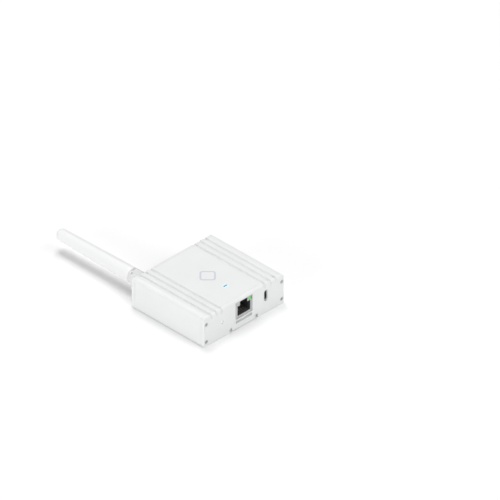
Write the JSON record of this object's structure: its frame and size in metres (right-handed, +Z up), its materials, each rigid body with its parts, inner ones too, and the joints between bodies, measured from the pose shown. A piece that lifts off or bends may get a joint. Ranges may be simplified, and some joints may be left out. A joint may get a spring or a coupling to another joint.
{
  "type": "network gateway with rod antenna",
  "caption": "Small ribbed white network gateway powered over its network cable, with jack, USB-C port, reset button, status light and a folding rod antenna.",
  "frame": {"origin": "centre of the case's flat underside, which rests on the surface", "axes": "+Z up; +Y from the front face (network jack) towards the back, along the straight antenna; +X to the right seen from the front"},
  "size_m": [0.077, 0.156, 0.024],
  "materials": {
    "case_paint": "satin",
    "white_plastic": "satin",
    "bright_steel": "satin",
    "black_plastic": "matte",
    "board": "satin",
    "copper_winding": "satin",
    "gold_contact": "gloss",
    "brass": "satin",
    "ferrite": "matte",
    "label_film": "satin",
    "lamp_off": "gloss",
    "lamp_green": "gloss",
    "lamp_blue": "gloss",
    "capacitor_sleeve": "satin",
    "top_print": "satin"
  },
  "bodies": {
    "case": {"upper_housing": "case_paint", "front_plate": "case_paint", "rear_plate": "case_paint", "bottom_cover": "case_paint", "rating_label": "label_film", "main_board": "board", "jack_shield": "bright_steel", "jack_insert": "black_plastic", "jack_contacts": "gold_contact", "jack_lamp_left": "lamp_off", "jack_lamp_right": "lamp_green", "usb_shell": "bright_steel", "usb_tongue": "black_plastic", "usb_cradle": "black_plastic", "reset_switch": "black_plastic", "status_lamp": "lamp_off", "status_light_guide": "lamp_blue", "transformer_core": "ferrite", "transformer_winding": "copper_winding", "storage_capacitor": "capacitor_sleeve", "power_choke": "ferrite", "network_transformer": "black_plastic", "processor": "black_plastic", "radio_shield": "bright_steel", "lead_plug": "gold_contact", "antenna_lead": "black_plastic", "swivel_washer": "bright_steel", "front_screw_1": "bright_steel", "front_screw_2": "bright_steel", "front_screw_3": "bright_steel", "front_screw_4": "bright_steel", "rear_screw_1": "bright_steel", "rear_screw_2": "bright_steel", "rear_screw_3": "bright_steel", "rear_screw_4": "bright_steel", "board_screw_1": "bright_steel", "board_screw_2": "bright_steel", "board_screw_3": "bright_steel", "board_screw_4": "bright_steel", "cover_screw_1": "bright_steel", "cover_screw_2": "bright_steel", "cover_screw_3": "bright_steel", "cover_screw_4": "bright_steel"},
    "reset_button": {"reset_button": "white_plastic"},
    "antenna_swivel": {"antenna_base": "case_paint", "swivel_nut": "bright_steel", "hinge_pin": "bright_steel"},
    "antenna_rod": {"antenna_stem": "white_plastic", "antenna_sheath": "white_plastic", "antenna_radiator": "brass"}
  },
  "joints": [
    {"name": "reset_press", "type": "slide", "parent": "case", "child": "reset_button", "axis": [0, 1, 0], "range_m": [0, 0.0005], "stiffness_N_per_m": 2500},
    {"name": "antenna_swivel_turn", "type": "hinge", "parent": "case", "child": "antenna_swivel", "pos_m": [-0.0234, 0.035, 0.012], "axis": [0, 1, 0], "range_deg": [-90, 90]},
    {"name": "antenna_fold", "type": "hinge", "parent": "antenna_swivel", "child": "antenna_rod", "pos_m": [-0.0234, 0.0418, 0.012], "axis": [1, 0, 0], "range_deg": [0, 90]}
  ]
}
